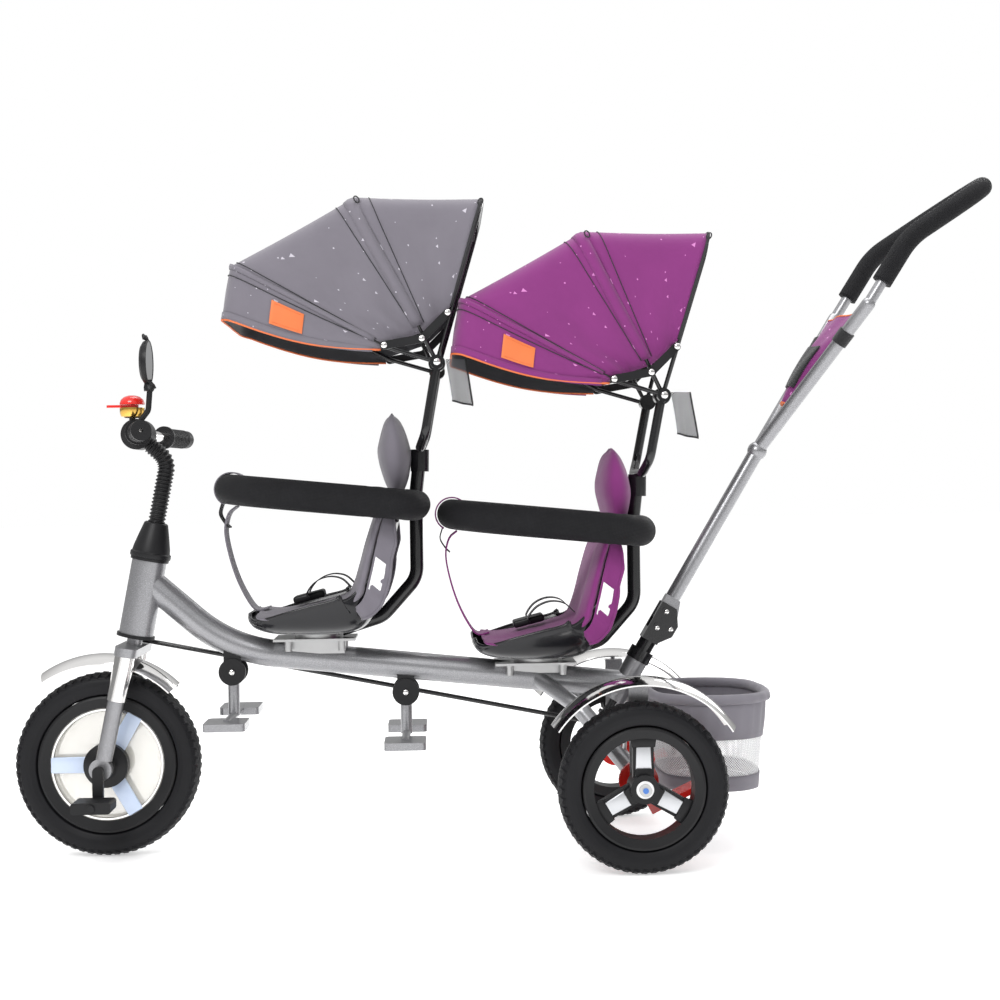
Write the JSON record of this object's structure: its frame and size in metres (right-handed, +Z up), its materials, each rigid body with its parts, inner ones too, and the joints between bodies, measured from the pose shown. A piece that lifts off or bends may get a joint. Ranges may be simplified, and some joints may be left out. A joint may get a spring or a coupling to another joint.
{
  "type": "tandem children's tricycle",
  "caption": "Tandem pedal tricycle for small children with seats in line, folding canopies, safety bars, rear basket and a steering push handle.",
  "frame": {"origin": "on the ground under the centre of the whole object's bounding box", "axes": "+X towards the rear, along the length; +Y towards the rider's right; +Z up"},
  "size_m": [1.621, 0.502, 1.096],
  "materials": {
    "silver_paint": "metallic silver paint with a fine sparkle",
    "black_paint": "gloss black powder coat",
    "chrome": "bright chrome plate",
    "zinc": "plain zinc-plated steel",
    "black_plastic": "moulded black plastic, satin",
    "seat_plastic": "moulded black plastic, glossy",
    "clear_plastic": "clear moulded plastic, slightly blue",
    "tyre_rubber": "black rubber with a fine tread",
    "foam": "black closed-cell foam",
    "grey_fabric": "grey woven polyester with sparse small light marks",
    "purple_fabric": "purple woven polyester with sparse small light marks",
    "basket_fabric": "white mesh with grey woven bands",
    "webbing": "black woven webbing",
    "red_plastic": "red moulded plastic",
    "gold": "gold-coloured plated steel",
    "mirror_plastic": "black plastic shell with a mirror face"
  },
  "bodies": {
    "frame": {"main_frame": "silver_paint", "head_bearings": "black_plastic", "rear_axle": "zinc", "rear_fenders": "chrome", "basket_frame": "zinc", "basket_fabric": "basket_fabric", "seat_mounts": "zinc", "front_seat_pan": "seat_plastic", "rear_seat_pan": "seat_plastic", "front_seat_cover": "grey_fabric", "rear_seat_cover": "purple_fabric", "seat_posts": "black_paint", "bar_clamps": "black_plastic", "safety_bars": "foam", "seat_straps": "webbing", "footrest_brackets": "black_plastic", "canopy_posts": "black_paint", "canopy_rear_bows": "black_paint", "front_canopy_fabric": "grey_fabric", "rear_canopy_fabric": "purple_fabric"},
    "steering": {"fork": "silver_paint", "fork_covers": "chrome", "front_fender": "chrome", "steering_stem": "black_plastic", "stem_covers": "black_plastic", "handlebar": "chrome", "grips": "black_plastic", "bell": "gold", "mirror_arm": "black_plastic"},
    "bell_thumb_lever": {"bell_lever": "red_plastic"},
    "mirror": {"mirror_head": "mirror_plastic"},
    "front_road_wheel": {"front_tyre": "tyre_rubber", "front_wheel": "black_plastic", "front_discs": "clear_plastic"},
    "crank": {"crankshaft": "black_plastic"},
    "left_pedal": {"pedal_left": "black_plastic"},
    "right_pedal": {"pedal_right": "black_plastic"},
    "linkage_rod": {"steering_rod": "black_paint", "steering_rod_eye": "black_paint"},
    "left_rear_wheel": {"rear_tyre_left": "tyre_rubber", "rear_wheel_left": "black_plastic"},
    "right_rear_wheel": {"rear_tyre_right": "tyre_rubber", "rear_wheel_right": "black_plastic"},
    "brake": {"brake_pedal": "red_plastic"},
    "front_foot_support": {"front_footrest": "silver_paint"},
    "rear_foot_support": {"rear_footrest": "silver_paint"},
    "handle_base": {"handle_yoke": "black_paint"},
    "push_handle": {"handle_tubes": "silver_paint", "handle_grip": "foam", "handle_bag": "purple_fabric"},
    "front_hood_middle": {"front_canopy_mid_bow": "black_paint"},
    "front_hood_front": {"front_canopy_front_bow": "black_paint", "front_canopy_visor": "grey_fabric"},
    "front_hood_stay_front": {"front_canopy_stay_front": "black_plastic"},
    "front_hood_stay_rear": {"front_canopy_stay_rear": "black_plastic"},
    "rear_hood_middle": {"rear_canopy_mid_bow": "black_paint"},
    "rear_hood_front": {"rear_canopy_front_bow": "black_paint", "rear_canopy_visor": "purple_fabric"},
    "rear_hood_stay_front": {"rear_canopy_stay_front": "black_plastic"},
    "rear_hood_stay_rear": {"rear_canopy_stay_rear": "black_plastic"}
  },
  "joints": [
    {"name": "steer", "type": "hinge", "parent": "frame", "child": "steering", "pos_m": [-0.61665, 0, 0.34619], "axis": [0.1942, 0, 0.981], "range_deg": [-35, 35]},
    {"name": "handle_steer", "type": "hinge", "parent": "frame", "child": "handle_base", "pos_m": [0.1875, 0, 0.263], "axis": [0.515, 0, 0.8572], "range_deg": [-35, 35]},
    {"name": "rod_swing", "type": "hinge", "parent": "steering", "child": "linkage_rod", "pos_m": [-0.61607, 0.034, 0.34913], "axis": [0.1942, 0, 0.981], "range_deg": [-35, 35]},
    {"name": "handle_fold", "type": "hinge", "parent": "handle_base", "child": "push_handle", "pos_m": [0.26602, 0, 0.35348], "axis": [0, 1, 0], "range_deg": [0, 70]},
    {"name": "front_wheel_spin", "type": "hinge", "parent": "steering", "child": "front_road_wheel", "pos_m": [-0.6605, 0, 0.15], "axis": [0, 1, 0], "continuous": true},
    {"name": "crank_spin", "type": "hinge", "parent": "steering", "child": "crank", "pos_m": [-0.6605, 0, 0.15], "axis": [0, 1, 0], "continuous": true},
    {"name": "pedal_left_spin", "type": "hinge", "parent": "crank", "child": "left_pedal", "pos_m": [-0.6605, -0.124, 0.103], "axis": [0, 1, 0], "continuous": true},
    {"name": "pedal_right_spin", "type": "hinge", "parent": "crank", "child": "right_pedal", "pos_m": [-0.6605, 0.124, 0.197], "axis": [0, 1, 0], "continuous": true},
    {"name": "rear_wheel_left_spin", "type": "hinge", "parent": "frame", "child": "left_rear_wheel", "pos_m": [0.1915, -0.215, 0.1315], "axis": [0, 1, 0], "continuous": true},
    {"name": "rear_wheel_right_spin", "type": "hinge", "parent": "frame", "child": "right_rear_wheel", "pos_m": [0.1915, 0.215, 0.1315], "axis": [0, 1, 0], "continuous": true},
    {"name": "brake_press", "type": "hinge", "parent": "frame", "child": "brake", "pos_m": [0.1915, 0, 0.1315], "axis": [0, 1, 0], "range_deg": [0, 12]},
    {"name": "front_footrest_fold", "type": "hinge", "parent": "frame", "child": "front_foot_support", "pos_m": [-0.4555, 0, 0.297], "axis": [0, -1, 0], "range_deg": [0, 75]},
    {"name": "rear_footrest_fold", "type": "hinge", "parent": "frame", "child": "rear_foot_support", "pos_m": [-0.1725, 0, 0.259], "axis": [0, -1, 0], "range_deg": [0, 60]},
    {"name": "bell_flick", "type": "hinge", "parent": "steering", "child": "bell_thumb_lever", "pos_m": [-0.60085, -0.07, 0.73], "axis": [0, 0, 1], "range_deg": [0, 25], "stiffness_Nm_per_rad": 0.02},
    {"name": "mirror_tilt", "type": "hinge", "parent": "steering", "child": "mirror", "pos_m": [-0.5675, -0.097, 0.757], "axis": [0, 1, 0], "range_deg": [-12, 12]},
    {"name": "front_hood_fold", "type": "hinge", "parent": "frame", "child": "front_hood_middle", "pos_m": [-0.1135, 0, 0.792], "axis": [0, 1, 0], "range_deg": [0, 31], "deforming": ["front_canopy_fabric"]},
    {"name": "front_hood_front_fold", "type": "hinge", "parent": "front_hood_middle", "child": "front_hood_front", "pos_m": [-0.1135, 0, 0.792], "axis": [0, 1, 0], "range_deg": [0, 29]},
    {"name": "front_stay_front_swing", "type": "hinge", "parent": "front_hood_front", "child": "front_hood_stay_front", "pos_m": [-0.1955, 0, 0.817], "axis": [0, 1, 0], "range_deg": [0, 33.8]},
    {"name": "front_stay_rear_swing", "type": "hinge", "parent": "frame", "child": "front_hood_stay_rear", "pos_m": [-0.0955, 0, 0.867], "axis": [0, -1, 0], "range_deg": [0, 13.3]},
    {"name": "rear_hood_fold", "type": "hinge", "parent": "frame", "child": "rear_hood_middle", "pos_m": [0.2465, 0, 0.735], "axis": [0, 1, 0], "range_deg": [0, 31], "deforming": ["rear_canopy_fabric"]},
    {"name": "rear_hood_front_fold", "type": "hinge", "parent": "rear_hood_middle", "child": "rear_hood_front", "pos_m": [0.2465, 0, 0.735], "axis": [0, 1, 0], "range_deg": [0, 29]},
    {"name": "rear_stay_front_swing", "type": "hinge", "parent": "rear_hood_front", "child": "rear_hood_stay_front", "pos_m": [0.1645, 0, 0.76], "axis": [0, 1, 0], "range_deg": [0, 33.8]},
    {"name": "rear_stay_rear_swing", "type": "hinge", "parent": "frame", "child": "rear_hood_stay_rear", "pos_m": [0.2645, 0, 0.81], "axis": [0, -1, 0], "range_deg": [0, 13.3]}
  ],
  "couplings": [
    {"joint": "handle_steer", "follows": "steer", "ratio": 1},
    {"joint": "rod_swing", "follows": "steer", "ratio": -1},
    {"joint": "crank_spin", "follows": "front_wheel_spin", "ratio": 1},
    {"joint": "front_hood_front_fold", "follows": "front_hood_fold", "ratio": 0.93548},
    {"joint": "front_stay_front_swing", "follows": "front_hood_fold", "ratio": 1.0903},
    {"joint": "front_stay_rear_swing", "follows": "front_hood_fold", "ratio": 0.42903},
    {"joint": "rear_hood_front_fold", "follows": "rear_hood_fold", "ratio": 0.93548},
    {"joint": "rear_stay_front_swing", "follows": "rear_hood_fold", "ratio": 1.0903},
    {"joint": "rear_stay_rear_swing", "follows": "rear_hood_fold", "ratio": 0.42903}
  ]
}
